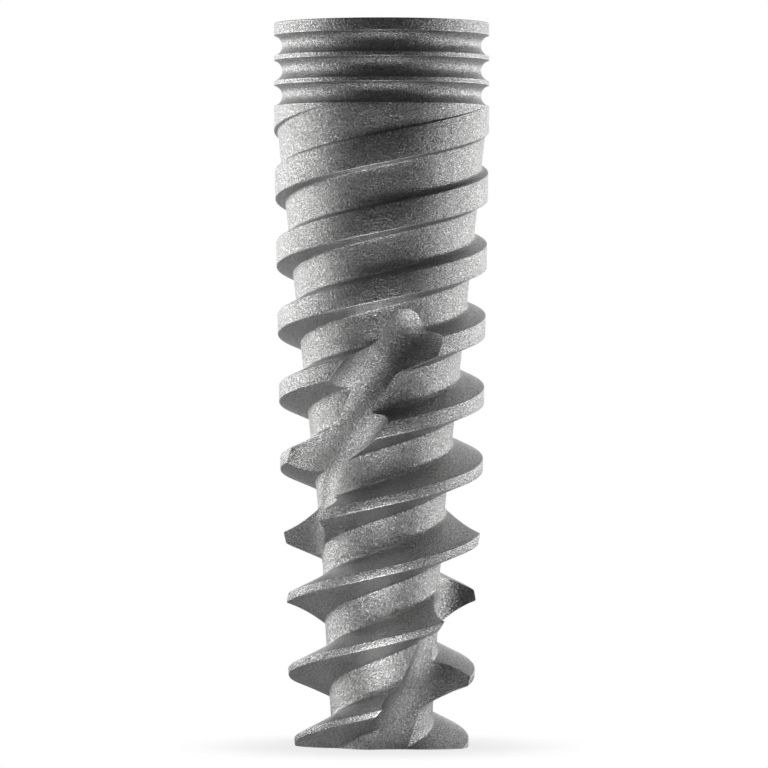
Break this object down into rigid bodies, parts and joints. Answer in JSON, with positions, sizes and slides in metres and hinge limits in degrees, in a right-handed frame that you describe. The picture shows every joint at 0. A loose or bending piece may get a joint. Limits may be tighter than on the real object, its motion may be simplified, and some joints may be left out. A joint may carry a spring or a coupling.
{
  "type": "dental implant",
  "caption": "Tapered dental implant with grooved collar, deepening bone thread, spiral cutting flutes, and a hexagon socket over a screw bore",
  "frame": {"origin": "centre of the flat apex face, on the implant's own axis; the part stands on that face", "axes": "+Z runs from the apex up to the platform, along the axis; -Y is the side that faces the camera in the picture and +X is its right; the thread is right-handed about +Z"},
  "size_m": [0.0038, 0.0038, 0.0126],
  "materials": {
    "blasted_titanium": null
  },
  "bodies": {
    "root": {"implant_body": "blasted_titanium"}
  },
  "joints": []
}
